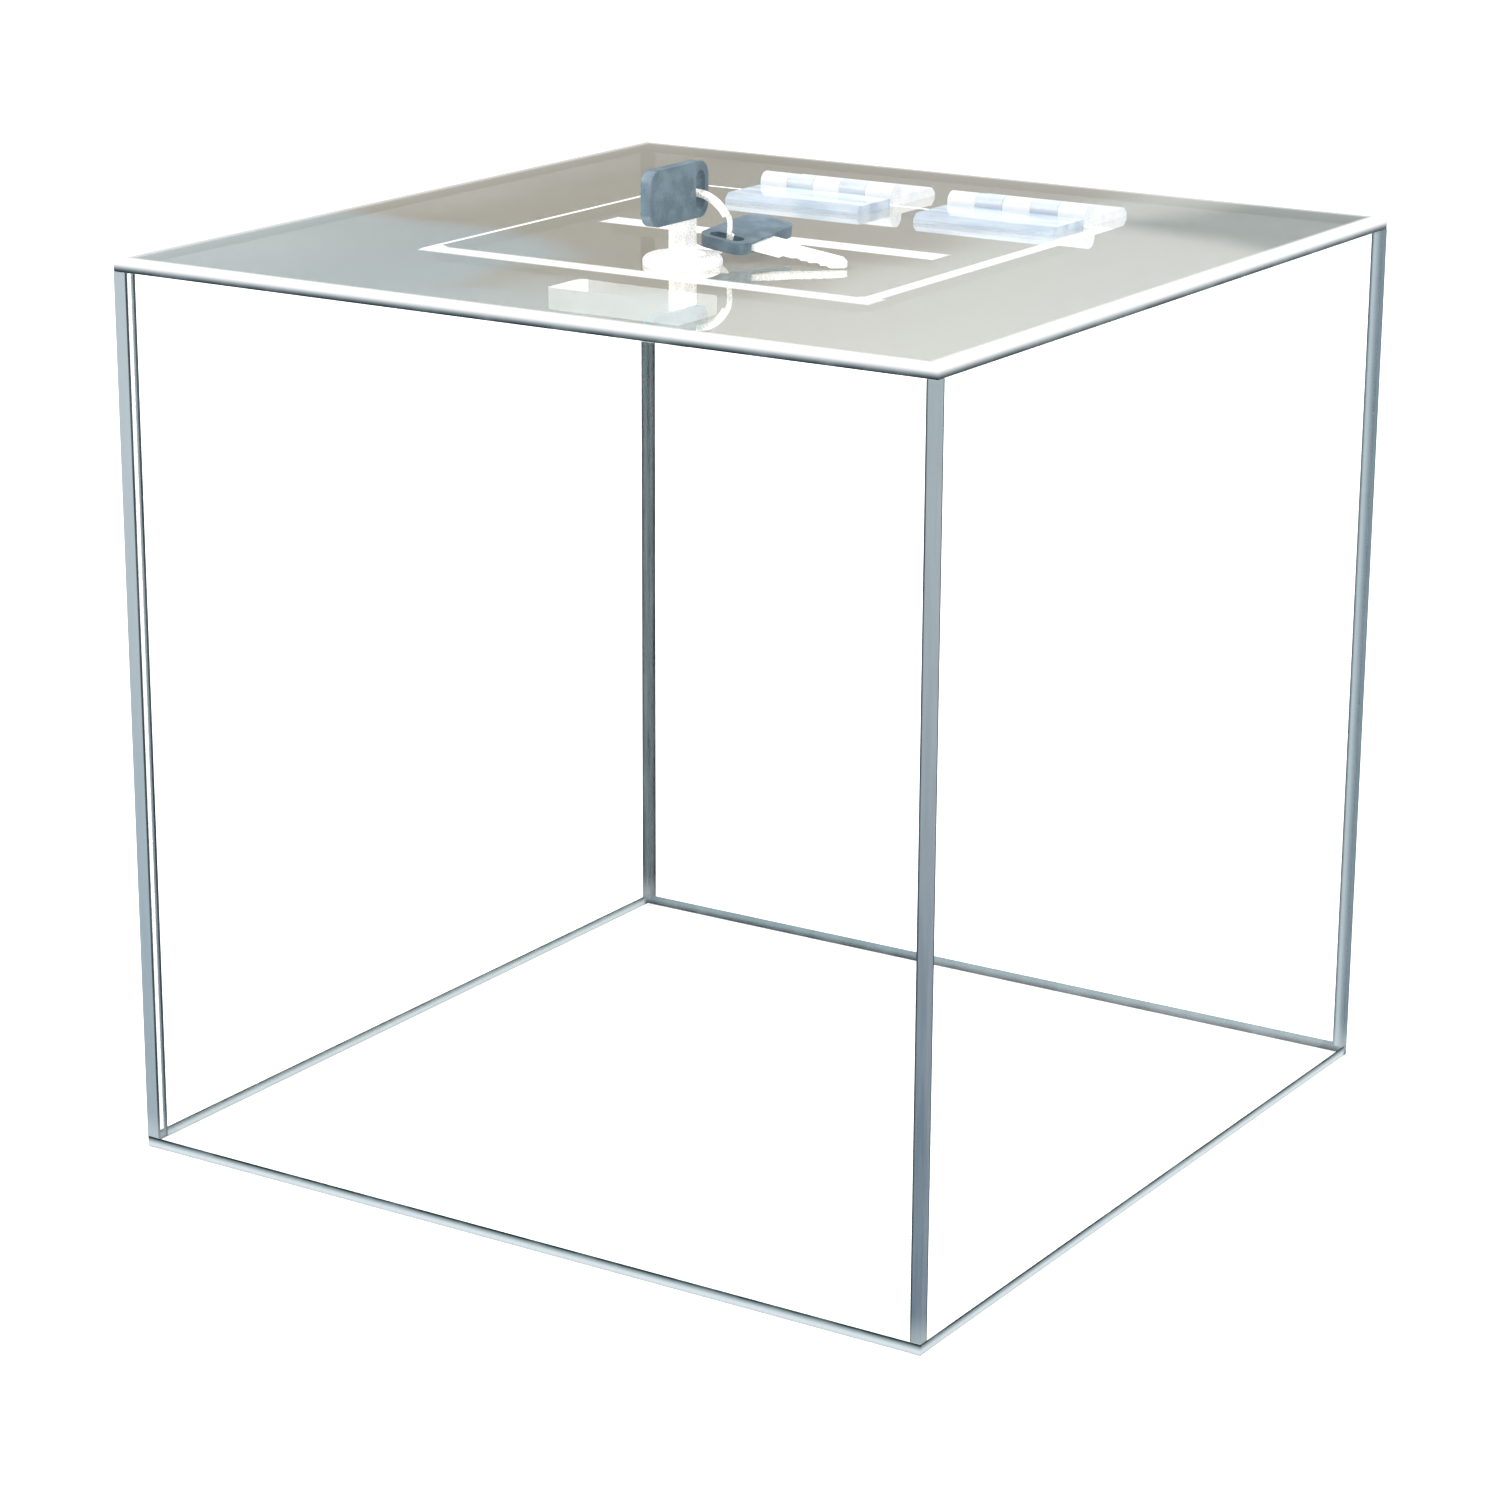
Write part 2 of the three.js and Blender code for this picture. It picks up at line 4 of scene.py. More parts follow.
import bmesh
import bpy
from mathutils import Matrix, Vector


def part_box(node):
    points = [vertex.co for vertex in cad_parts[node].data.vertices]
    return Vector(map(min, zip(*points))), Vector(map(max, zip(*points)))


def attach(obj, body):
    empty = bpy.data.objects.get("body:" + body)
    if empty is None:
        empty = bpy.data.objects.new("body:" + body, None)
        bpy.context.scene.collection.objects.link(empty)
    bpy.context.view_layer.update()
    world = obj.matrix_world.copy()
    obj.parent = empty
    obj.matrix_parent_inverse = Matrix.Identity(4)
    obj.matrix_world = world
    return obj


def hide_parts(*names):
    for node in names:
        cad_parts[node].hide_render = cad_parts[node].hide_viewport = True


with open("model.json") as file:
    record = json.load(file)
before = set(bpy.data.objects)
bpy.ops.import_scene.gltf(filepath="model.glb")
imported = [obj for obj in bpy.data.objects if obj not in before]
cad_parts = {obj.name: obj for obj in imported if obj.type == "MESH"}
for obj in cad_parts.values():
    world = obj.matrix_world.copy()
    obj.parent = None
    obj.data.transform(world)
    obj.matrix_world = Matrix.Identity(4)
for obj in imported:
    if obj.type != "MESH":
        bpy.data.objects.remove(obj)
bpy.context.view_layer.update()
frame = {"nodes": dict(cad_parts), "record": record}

MM = 0.001
BODY_OF = {
    node: body for body, nodes in frame["record"]["behaviour"]["bodies"].items() for node in nodes
}

# ------------------------------------------------------------------ the CAD's own places

TOP_LOW, TOP_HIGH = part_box("top_panel")
DOOR_LOW, DOOR_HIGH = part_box("door_panel")
BASE_LOW, BASE_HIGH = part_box("base_panel")
INNER_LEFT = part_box("left_wall")[1].x
INNER_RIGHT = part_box("right_wall")[0].x
INNER_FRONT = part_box("front_wall")[1].y
INNER_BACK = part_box("back_wall")[0].y
HALF = TOP_HIGH.x
SHEET = TOP_HIGH.z - TOP_LOW.z
LID = TOP_HIGH.z

# The same in millimetres, for the materials, which measure places in them.
HALF_MM = HALF / MM
INNER_MM = INNER_RIGHT / MM
SHEET_MM = SHEET / MM
HIGH_Z = LID / MM
LOW_Z = LID / MM - SHEET / MM


def middle(node):
    """The centre of a CAD node's box."""
    low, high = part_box(node)
    return (low + high) / 2


# ------------------------------------------------------------------ node trees


class Tree:
    """One material's or world's node tree, with short calls to add and link nodes."""

    def __init__(self, owner):
        owner.use_nodes = True
        self.tree = owner.node_tree
        self.tree.nodes.clear()

    def add(self, kind, inputs=None, **settings):
        node = self.tree.nodes.new("ShaderNode" + kind)
        for key, value in settings.items():
            setattr(node, key, value)
        for key, value in (inputs or {}).items():
            if isinstance(value, bpy.types.NodeSocket):
                self.tree.links.new(value, node.inputs[key])
            else:
                node.inputs[key].default_value = value
        return node

    def math(self, operation, a, b=0.0):
        """One Math node; b is unused by operations that take one value."""
        return self.add("Math", {0: a, 1: b}, operation=operation).outputs[0]

    def scaled(self, value, factor, offset):
        """value * factor + offset."""
        return self.add("Math", {0: value, 1: factor, 2: offset}, operation="MULTIPLY_ADD").outputs[0]

    def ramp(self, value, low, high, to_low=0.0, to_high=1.0):
        """A smooth step from to_low at low to to_high at high."""
        inputs = {"Value": value, "From Min": low, "From Max": high, "To Min": to_low, "To Max": to_high}
        return self.add("MapRange", inputs, interpolation_type="SMOOTHSTEP").outputs[0]

    def blend(self, share, a, b):
        """A colour from a to b."""
        return self.add("Mix", {0: share, 6: a, 7: b}, data_type="RGBA").outputs[2]

    def shaders(self, share, a, b):
        return self.add("MixShader", {0: share, 1: a, 2: b}).outputs[0]

    def place(self):
        """The point's place in millimetres, in the part's own frame: a vector and its three parts."""
        point = self.add("TexCoord").outputs["Object"]
        to_mm = (1 / MM, 1 / MM, 1 / MM)
        scaled = self.add("VectorMath", {0: point, 1: to_mm}, operation="MULTIPLY").outputs[0]
        parts = self.add("SeparateXYZ", {0: scaled})
        return scaled, parts.outputs[0], parts.outputs[1], parts.outputs[2]

    def noise(self, vector, scale, detail=2.0, stretch=None):
        if stretch is not None:
            vector = self.add("VectorMath", {0: vector, 1: stretch}, operation="MULTIPLY").outputs[0]
        inputs = {"Vector": vector, "Scale": scale, "Detail": detail}
        return self.add("TexNoise", inputs).outputs[0]

    def bump(self, height, distance, strength):
        return self.add("Bump", {"Height": height, "Distance": distance, "Strength": strength}).outputs[0]

    def finish(self, surface):
        self.add("OutputMaterial", {"Surface": surface})


def srgb(red, green, blue):
    """A colour given as it looks on screen, 0 to 255, as the linear one that nodes take."""
    def linear(value):
        value /= 255
        return value / 12.92 if value <= 0.04045 else ((value + 0.055) / 1.055) ** 2.4

    return (linear(red), linear(green), linear(blue), 1.0)


def material(name):
    made = bpy.data.materials.new(name)
    return made, Tree(made)


# ------------------------------------------------------------------ acrylic materials

WHITE = (1.0, 1.0, 1.0, 1.0)
BLACK = (0.0, 0.0, 0.0, 1.0)
OPEN = (0.995, 1.0, 1.0, 1.0)
MIRROR_POWER = 5.0


def grazing(t, power):
    """0 looking straight at the surface, rising to 1 along it."""
    facing = t.add("LayerWeight", {"Blend": 0.5}).outputs["Facing"]
    return t.math("POWER", facing, power)


EDGE_SHADE = 0.28


def painted_glow_edge(t, colour, glow, roughness, gloss=0.5):
    """A polished edge with a painted glow standing in for the light it pipes, over a darker base of the
    same colour.
    """
    if isinstance(colour, bpy.types.NodeSocket):
        base = t.blend(1 - EDGE_SHADE, colour, BLACK)
    else:
        base = tuple(EDGE_SHADE * part for part in colour[:3]) + (1.0,)
    return t.add("BsdfPrincipled", {
        "Base Color": base, "Roughness": roughness, "IOR": 1.3, "Specular IOR Level": gloss,
        "Emission Color": colour, "Emission Strength": glow,
    })


def clear_sheet():
    """Polished faces of the walls and base: nearly nothing but a faint mirror and fine polish marks."""
    made, t = material("acrylic_clear")
    place, _, _, _ = t.place()
    marks = t.noise(place, scale=0.06, detail=3.0)
    open_ = t.add("BsdfTransparent", {"Color": OPEN}).outputs[0]
    roughness = t.ramp(marks, 0.3, 0.7, 0.02, 0.07)
    gloss = t.add("BsdfGlossy", {"Color": WHITE, "Roughness": roughness}).outputs[0]
    share = t.scaled(grazing(t, MIRROR_POWER), 0.45, 0.01)
    t.finish(t.shaders(share, open_, gloss))
    return made


POST_LOW, POST_HIGH = 30.0, 230.0
FOOT_LOW, FOOT_HIGH = 3.0, 12.0
FRONT_START, FRONT_END = 60.0, 250.0
BACK_START, BACK_END = -60.0, -200.0
RIGHT_START, RIGHT_END = 60.0, 120.0
LINE_START, LINE_END = 0.25, 0.6
LEFT_LINE, FRONT_LINE = -1.1, 0.05


def corner_post():
    """The polished corners of two walls: blue-grey columns of bent light, painted in as colour, shade and
    glow, each lit its own way.
    """
    made, t = material("acrylic_corner")
    place, x, y, z = t.place()
    high = t.ramp(z, POST_LOW, POST_HIGH)
    toward = t.math("SUBTRACT", x, y)
    out_x = t.math("ABSOLUTE", x)
    into = t.math("SUBTRACT", out_x, INNER_MM)

    # Paler higher up, and the front post darker than the left: painted light and shade.
    left = t.blend(high, srgb(150, 166, 176), srgb(176, 188, 194))
    front = t.blend(high, srgb(104, 120, 134), srgb(154, 166, 172))
    colour = t.blend(t.ramp(toward, FRONT_START, FRONT_END), left, front)
    flank = t.math("SUBTRACT", t.math("MINIMUM", out_x, t.math("ABSOLUTE", y)), INNER_MM)
    reach = t.ramp(toward, FRONT_START, FRONT_END, LEFT_LINE, FRONT_LINE)
    line = t.ramp(t.math("SUBTRACT", flank, reach), LINE_START, LINE_END, 0.95, 0.0)
    colour = t.blend(line, colour, srgb(36, 48, 54))

    # Right-hand posts: painted shade across the sheet, darkest at its inner face.
    right = t.blend(t.ramp(into, 1.0, 3.2), srgb(168, 186, 194), srgb(96, 118, 130))
    right = t.blend(t.ramp(into, 0.2, 1.0), srgb(40, 58, 66), right)
    colour = t.blend(t.ramp(y, RIGHT_START, RIGHT_END), colour, right)

    # Back post: painted dark shade, a little paler at the sheet's middle.
    core = t.math("ABSOLUTE", t.math("SUBTRACT", into, SHEET_MM / 2))
    back = t.blend(t.ramp(core, 0.2, 1.2), srgb(58, 86, 96), srgb(8, 18, 24))
    colour = t.blend(t.ramp(toward, BACK_START, BACK_END), colour, back)

    saw = t.noise(place, scale=0.35, detail=4.0, stretch=(1.6, 1.6, 0.12))
    lit = t.blend(0.5, colour, srgb(190, 202, 208))
    colour = t.blend(t.ramp(saw, 0.35, 0.65, 0.0, 0.2), colour, lit)
    # Paler near the foot: painted light.
    colour = t.blend(t.ramp(z, FOOT_LOW, FOOT_HIGH, 0.3, 0.0), colour, srgb(225, 235, 238))
    surface = painted_glow_edge(t, colour, glow=0.5, roughness=0.25, gloss=0.1)
    t.tree.links.new(t.bump(saw, distance=0.00004, strength=0.5), surface.inputs["Normal"])
    t.finish(surface.outputs[0])
    return made


def streaked(t, place, colour, scale, rise, share, streak):
    """A colour with faint streaks of another along it."""
    streaks = t.noise(place, scale=scale, detail=3.0, stretch=(1, 1, rise))
    return t.blend(t.ramp(streaks, 0.4, 0.75, 0.0, share), colour, streak)


def lid_edge():
    """The lid's outer edges: a painted white glow above, falling to darker slate towards the joint below.
    """
    made, t = material("acrylic_lid_edge")
    place, _, _, z = t.place()
    dark = t.blend(t.ramp(z, LOW_Z + 0.2, LOW_Z + 1.1), srgb(26, 36, 40), srgb(104, 120, 128))
    # White above: painted glow.
    colour = t.blend(t.ramp(z, LOW_Z + 0.7, LOW_Z + 2.5), dark, WHITE)
    colour = streaked(t, place, colour, 0.1, 0.2, 0.12, srgb(216, 228, 232))
    t.finish(painted_glow_edge(t, colour, glow=0.5, roughness=0.15, gloss=0.15).outputs[0])
    return made


def base_edge():
    """The base's edges, with a painted glow: slate towards the joint above, painted pale cyan light
    below; the back one darkens downwards in painted shade.
    """
    made, t = material("acrylic_base_edge")
    place, _, y, z = t.place()
    top = SHEET_MM
    slate = t.blend(t.ramp(z, top - 1.1, top - 0.3), srgb(136, 156, 160), srgb(20, 32, 36))
    colour = t.blend(t.ramp(z, top - 2.1, top - 0.8), srgb(220, 230, 236), slate)
    colour = t.blend(t.ramp(z, 0.0, 0.8), srgb(196, 202, 206), colour)
    # Back edge: painted shade, darker downwards.
    back = t.blend(t.ramp(z, 0.2, 2.2), srgb(52, 64, 72), srgb(134, 156, 164))
    colour = t.blend(t.ramp(y, HALF_MM - 3.0, HALF_MM - 1.0), colour, back)
    colour = streaked(t, place, colour, 0.1, 0.2, 0.15, srgb(200, 216, 222))
    t.finish(painted_glow_edge(t, colour, glow=0.46, roughness=0.15, gloss=0.15).outputs[0])
    return made


def cut_edge(name, glow, low, high):
    """Polished cut edges that shine white with a painted glow, greyer at height low than at high."""
    made, t = material(name)
    place, _, _, z = t.place()
    colour = t.blend(t.ramp(z, low, high), srgb(228, 230, 226), WHITE)
    colour = streaked(t, place, colour, 0.15, 0.3, 0.3, srgb(238, 242, 244))
    t.finish(painted_glow_edge(t, colour, glow=glow, roughness=0.12).outputs[0])
    return made


# Colours of the lid's painted room reflection.
LID_TAUPE = srgb(158, 157, 141)
LID_DUSK = srgb(158, 149, 135)
LID_LEFT = srgb(196, 199, 188)
LID_MIST = srgb(168, 191, 198)
LID_MIST_LEFT = srgb(214, 232, 238)
LID_PALE = srgb(212, 215, 207)
LID_FRONT = srgb(188, 202, 202)
LID_GREEN = srgb(88, 116, 114)
LID_TINT = (0.93, 0.95, 0.94, 1)
LID_DIM = 0.22

# How far the painted white glow of the lid's border, the door's gap and the slot reaches, in millimetres.
BORDER_SOLID, BORDER_END = 3.0, 6.0
FAR_BORDER_SOLID, FAR_BORDER_END, FAR_BORDER_SHARE = 0.8, 4.5, 0.45
GAP_MIDDLE = 0.5
GAP_NEAR_START, GAP_NEAR_END = 6.0, 4.5
GAP_FRONT_MORE, GAP_RIGHT_MORE = 3.6, 1.9
GAP_CORNER = 0.9
SLOT_HALF_X = 52.5
SLOT_HALF_Y = 3.0
SLOT_SOLID, SLOT_END = 0.7, 2.3


def panel_distance(t, x, y, half_x, half_y):
    """How far a point is outside a rectangle centred on the origin; negative inside it."""
    across = t.math("SUBTRACT", t.math("ABSOLUTE", x), half_x)
    along = t.math("SUBTRACT", t.math("ABSOLUTE", y), half_y)
    return t.math("MAXIMUM", across, along)


def lid_rims(t, x, y):
    """Where a painted white glow stands for cut edges below the top faces shining through: the lid's
    border, the door's gap, the slot.
    """
    front = t.math("MULTIPLY", y, -1.0)
    near = t.math("MAXIMUM", x, front)
    far = t.math("MAXIMUM", t.math("MULTIPLY", x, -1.0), y)
    border = t.ramp(near, HALF_MM - BORDER_END, HALF_MM - BORDER_SOLID)
    faint = t.ramp(far, HALF_MM - FAR_BORDER_END, HALF_MM - FAR_BORDER_SOLID, 0.0, FAR_BORDER_SHARE)

    gap_x, gap_y = DOOR_HIGH.x / MM + GAP_MIDDLE, DOOR_HIGH.y / MM + GAP_MIDDLE
    gap = t.math("ABSOLUTE", panel_distance(t, x, y, gap_x, gap_y))
    in_front = t.ramp(front, gap_y - GAP_NEAR_START, gap_y - GAP_NEAR_END, 0.0, GAP_FRONT_MORE)
    at_right = t.ramp(x, gap_x - GAP_NEAR_START, gap_x - GAP_NEAR_END, 0.0, GAP_RIGHT_MORE)
    in_front = t.math("MULTIPLY", in_front, t.ramp(x, -gap_x - GAP_CORNER, -gap_x))
    at_right = t.math("MULTIPLY", at_right, t.ramp(y, gap_y + GAP_CORNER, gap_y))
    reach = t.math("ADD", t.math("MAXIMUM", in_front, at_right), 1.0)
    door = t.ramp(t.math("DIVIDE", gap, reach), 0.5, 1.05, 1.0, 0.0)

    from_slot = panel_distance(t, x, y, SLOT_HALF_X, SLOT_HALF_Y)
    slot = t.ramp(from_slot, SLOT_SOLID, SLOT_END, 1.0, 0.0)
    strongest = t.math("MAXIMUM", t.math("MAXIMUM", border, faint), t.math("MAXIMUM", door, slot))
    return t.math("MINIMUM", strongest, 1.0)


def painted_lid_reflection(t, place, x, y):
    """The colour of the painted room reflection: taupe, misty at the front left, pale at the right, green
    at the far corner.
    """
    wide = t.scaled(t.noise(place, scale=0.012), 60.0, -30.0)
    wave_x = t.math("ADD", x, wide)
    wave_y = t.math("SUBTRACT", y, wide)
    grain = t.noise(place, scale=0.05, detail=4.0, stretch=(0.3, 2.0, 1.0))
    colour = t.blend(t.ramp(grain, 0.35, 0.7, 0.0, 0.6), LID_TAUPE, LID_DUSK)
    colour = t.blend(t.ramp(wave_x, -80.0, -122.0, 0.0, 0.85), colour, LID_LEFT)
    mist = t.math("MULTIPLY", t.ramp(wave_y, -32.0, -52.0), t.ramp(wave_x, -20.0, -45.0))
    mist = t.math("MAXIMUM", mist, t.ramp(wave_y, -96.0, -112.0))
    colour = t.blend(mist, colour, LID_MIST)
    lift = t.math("MULTIPLY", mist, t.ramp(wave_x, -70.0, -118.0, 0.0, 0.6))
    colour = t.blend(lift, colour, LID_MIST_LEFT)
    front = t.math("MULTIPLY", t.ramp(wave_y, -74.0, -96.0), t.ramp(wave_x, -55.0, 25.0))
    colour = t.blend(front, colour, LID_FRONT)
    colour = t.blend(t.ramp(wave_x, 30.0, 62.0), colour, LID_PALE)
    corner = t.math("MULTIPLY", t.ramp(wave_x, 60.0, 86.0), t.ramp(wave_y, 46.0, 78.0))
    return t.blend(corner, colour, LID_GREEN)


def lid_face():
    """The top faces of the lid: a strong soft mirror over a painted reflection of the room, denser at a
    slant.
    """
    made, t = material("acrylic_lid")
    place, x, y, _ = t.place()
    # The lid's painted room reflection, dimmed.
    colour = t.blend(LID_DIM, painted_lid_reflection(t, place, x, y), BLACK)
    painted_reflection = t.add("BsdfDiffuse", {"Color": colour}).outputs[0]
    open_ = t.add("BsdfTransparent", {"Color": LID_TINT}).outputs[0]
    inside = t.shaders(t.ramp(grazing(t, 1.0), 0.1, 0.7, 0.3, 0.86), open_, painted_reflection)
    roughness = t.ramp(t.noise(place, scale=0.03), 0.3, 0.7, 0.015, 0.05)
    gloss = t.add("BsdfGlossy", {"Color": WHITE, "Roughness": roughness}).outputs[0]
    share = t.math("MINIMUM", t.scaled(grazing(t, MIRROR_POWER), 1.6, 0.05), 0.9)
    sheet = t.shaders(share, inside, gloss)
    # Painted white glow for the rims.
    rim = painted_glow_edge(t, WHITE, glow=0.75, roughness=0.05).outputs[0]
    t.finish(t.shaders(lid_rims(t, x, y), sheet, rim))
    return made


KNUCKLE_LOW, KNUCKLE_HIGH = 2.4, 4.5


def hinge_plastic(name, tint, shade, solid):
    """Clear moulded acrylic: icy, with a painted glow that shows most on its rounded edges, a painted
    highlight higher up its knuckles, and faint flow lines.
    """
    made, t = material(name)
    place, _, _, z = t.place()
    flow = t.noise(place, scale=0.12, detail=3.0, stretch=(0.4, 1.5, 1.5))
    colour = t.blend(t.ramp(flow, 0.35, 0.7), tint, shade)
    # Paler higher up the knuckles: painted highlight.
    knuckle = t.ramp(z, HIGH_Z + KNUCKLE_LOW, HIGH_Z + KNUCKLE_HIGH, 0.0, 0.55)
    colour = t.blend(knuckle, colour, srgb(244, 249, 253))
    surface = painted_glow_edge(t, colour, glow=0.62, roughness=0.08)
    t.tree.links.new(t.bump(flow, distance=0.0001, strength=0.3), surface.inputs["Normal"])
    open_ = t.add("BsdfTransparent", {"Color": WHITE}).outputs[0]
    t.finish(t.shaders(t.ramp(grazing(t, 1.0), 0.0, 0.8, solid, 0.97), open_, surface.outputs[0]))
    return made


# ------------------------------------------------------------------ metal and plastic materials

DULL = 0.8


def metal(name, colour, roughness, brush=(1, 1, 1), share=1.0, glow=0.0):
    """Plated or brushed metal with fine marks, and wear that varies its gloss; glow adds a painted glow
    of its own colour.
    """
    made, t = material(name)
    place, _, _, _ = t.place()
    marks = t.noise(place, scale=2.0, detail=3.0, stretch=brush)
    wear = t.noise(place, scale=0.25)
    dull = tuple(DULL * part for part in colour[:3]) + (1.0,)
    shade = t.blend(t.ramp(wear, 0.35, 0.75, 0.0, 0.5), colour, dull)
    rough = t.math("ADD", t.ramp(marks, 0.3, 0.7, -0.05, 0.08), roughness)
    surface = t.add("BsdfPrincipled", {
        "Base Color": shade, "Metallic": share, "Roughness": rough,
        "Emission Color": colour, "Emission Strength": glow,
    })
    t.tree.links.new(t.bump(marks, distance=0.000004, strength=0.4), surface.inputs["Normal"])
    t.finish(surface.outputs[0])
    return made


def bow_plastic():
    """Moulded dark blue-grey plastic with a fine grain, paler where handling has rubbed it."""
    made, t = material("key_plastic")
    place, _, _, _ = t.place()
    grain = t.noise(place, scale=3.0, detail=3.0)
    rubbed = t.noise(place, scale=0.22, detail=3.0)
    colour = t.blend(t.ramp(rubbed, 0.35, 0.7), srgb(72, 91, 103), srgb(96, 114, 126))
    colour = t.blend(t.ramp(grain, 0.45, 0.7, 0.0, 0.25), colour, srgb(122, 140, 152))
    surface = t.add("BsdfPrincipled", {"Base Color": colour, "Roughness": 0.42, "IOR": 1.5})
    t.tree.links.new(t.bump(grain, distance=0.00003, strength=0.4), surface.inputs["Normal"])
    t.finish(surface.outputs[0])
    return made


KEEPER_LOW = -6.0
KEEPER_END_HIGH = -2.0
CLEAR = clear_sheet()
POST = corner_post()
LID_FACE = lid_face()
LID_EDGE = lid_edge()
BASE_EDGE = base_edge()
CUT_EDGE = cut_edge("acrylic_cut_edge", 0.9, LOW_Z, HIGH_Z)
# The keeper's end and sides carry a strong painted glow.
KEEPER_END = cut_edge(
    "acrylic_keeper_end", 22.0, LOW_Z + KEEPER_LOW, LOW_Z + KEEPER_END_HIGH)
KEEPER_SIDE = cut_edge("acrylic_keeper_side", 7.0, LOW_Z + KEEPER_LOW, LOW_Z)
HINGE_CASE = hinge_plastic("hinge_acrylic_case", srgb(254, 255, 255), srgb(238, 245, 250), 0.8)
# The door's leaves: a bluer, darker copy of the same acrylic, painted shade.
HINGE_DOOR = hinge_plastic("hinge_acrylic_door", srgb(218, 229, 240), srgb(180, 196, 214), 0.6)
# Nickel and its wire carry a painted glow.
NICKEL = metal("nickel", srgb(250, 249, 246), 0.24, share=0.45, glow=0.2)
WIRE = metal("nickel_wire", srgb(240, 238, 230), 0.24, share=0.55, glow=0.24)
ZINC = metal("zinc", srgb(205, 209, 212), 0.3, brush=(4, 1, 1))
BRASS = metal("brass", srgb(205, 170, 96), 0.3, brush=(1, 4, 1))
BOW = bow_plastic()

# ------------------------------------------------------------------ piece building

SHARP = math.radians(35)
COPLANAR = math.radians(1)
FACING = 0.9
WELD = 1e-6


def new_piece(name, mesh, node, materials):
    """Puts a mesh in the scene as the piece that stands for a CAD node."""
    piece = bpy.data.objects.new(name, mesh)
    bpy.context.scene.collection.objects.link(piece)
    for entry in materials:
        mesh.materials.append(entry)
    mesh.polygons.foreach_set("use_smooth", [True] * len(mesh.polygons))
    mesh.set_sharp_from_angle(angle=SHARP)
    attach(piece, BODY_OF[node])
    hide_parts(node)
    return piece


def cad_bmesh(node):
    """The CAD node's mesh with its split corners welded and its flat faces joined up."""
    bm = bmesh.new()
    bm.from_mesh(frame["nodes"][node].data)
    bmesh.ops.remove_doubles(bm, verts=bm.verts, dist=WELD)
    bmesh.ops.dissolve_limit(bm, angle_limit=COPLANAR, verts=bm.verts, edges=bm.edges)
    return bm


def to_mesh(bm, name):
    """Ends the building of a mesh, with its faces turned outwards."""
    mesh = bpy.data.meshes.new(name)
    bmesh.ops.recalc_face_normals(bm, faces=bm.faces)
    bm.to_mesh(mesh)
    bm.free()
    return mesh


def round_edges(piece, width_mm, segments):
    """Rounds every sharp edge and keeps the flats flat."""
    bevel = piece.modifiers.new("rounding", "BEVEL")
    bevel.width = width_mm * MM
    bevel.segments = segments
    bevel.limit_method = "ANGLE"
    bevel.angle_limit = SHARP
    bevel.use_clamp_overlap = True
    flats = piece.modifiers.new("flat_faces", "WEIGHTED_NORMAL")
    flats.weight = 100
    flats.keep_sharp = True


def rounded_node(node, materials, width_mm, segments=3, choose=None):
    """A piece with the CAD node's shape, its edges rounded; choose gives each face's material."""
    bm = cad_bmesh(node)
    for face in bm.faces:
        face.material_index = choose(face) if choose else 0
    piece = new_piece(node + "_form", to_mesh(bm, node), node, materials)
    round_edges(piece, width_mm, segments)


def split_at(bm, axis, value):
    """Cuts every face along a plane, adding edges only."""
    point, normal = Vector(), Vector()
    point[axis] = value
    normal[axis] = 1
    geometry = bm.verts[:] + bm.edges[:] + bm.faces[:]
    bmesh.ops.bisect_plane(bm, geom=geometry, plane_co=point, plane_no=normal, dist=WELD)


# ------------------------------------------------------------------ case

LEFT_POST_MORE = 1.5 * MM
BEAD = 1.0 * MM
BEAD_HOLLOW = 0.34


def add_bead(bm, start, end, leg_a, leg_b):
    """A hollow-faced fillet of cement along an inside corner, from start to end."""
    rings = []
    for point in (Vector(start), Vector(end)):
        corner = [point, point + leg_a, point + (leg_a + leg_b) * BEAD_HOLLOW, point + leg_b]
        rings.append([bm.verts.new(co) for co in corner])
    first, last = rings
    bm.faces.new(first)
    bm.faces.new(list(reversed(last)))
    for i in range(4):
        j = (i + 1) % 4
        bm.faces.new([first[i], last[i], last[j], first[j]])


def corner_walls():
    """The front and back walls, whose ends are the cube's corner posts."""
    for node, left_edge in (("front_wall", INNER_LEFT + LEFT_POST_MORE), ("back_wall", INNER_LEFT)):
        bm = cad_bmesh(node)
        split_at(bm, 0, left_edge)
        split_at(bm, 0, INNER_RIGHT)
        for face in bm.faces:
            face.material_index = 0 if left_edge < face.calc_center_median().x < INNER_RIGHT else 1
        new_piece(node + "_sheet", to_mesh(bm, node), node, [CLEAR, POST])


def side_walls():
    """The left and right walls, between the others, with a fillet of cement up each inside corner."""
    for node, inner, inward in (("left_wall", INNER_LEFT, 1), ("right_wall", INNER_RIGHT, -1)):
        bm = cad_bmesh(node)
        for y, back in ((INNER_FRONT, 1), (INNER_BACK, -1)):
            legs = Vector((inward * BEAD, 0, 0)), Vector((0, back * BEAD, 0))
            add_bead(bm, (inner, y, BASE_HIGH.z), (inner, y, TOP_LOW.z), *legs)
        for face in bm.faces:
            face.material_index = 0
        new_piece(node + "_sheet", to_mesh(bm, node), node, [CLEAR])


def base_faces(face):
    """The base's flat faces, then its edges."""
    return 0 if abs(face.normal.z) > FACING else 1


def door_faces(face):
    """The door's top, its underside, then its cut edges."""
    if abs(face.normal.z) > FACING:
        return 0 if face.normal.z > 0 else 1
    return 2


def top_faces(face):
    """The lid's top, its underside, its outer edges, then its hatch edges."""
    if abs(face.normal.z) > FACING:
        return 0 if face.normal.z > 0 else 1
    centre = face.calc_center_median()
    return 2 if max(abs(centre.x), abs(centre.y)) > HALF - SHEET else 3


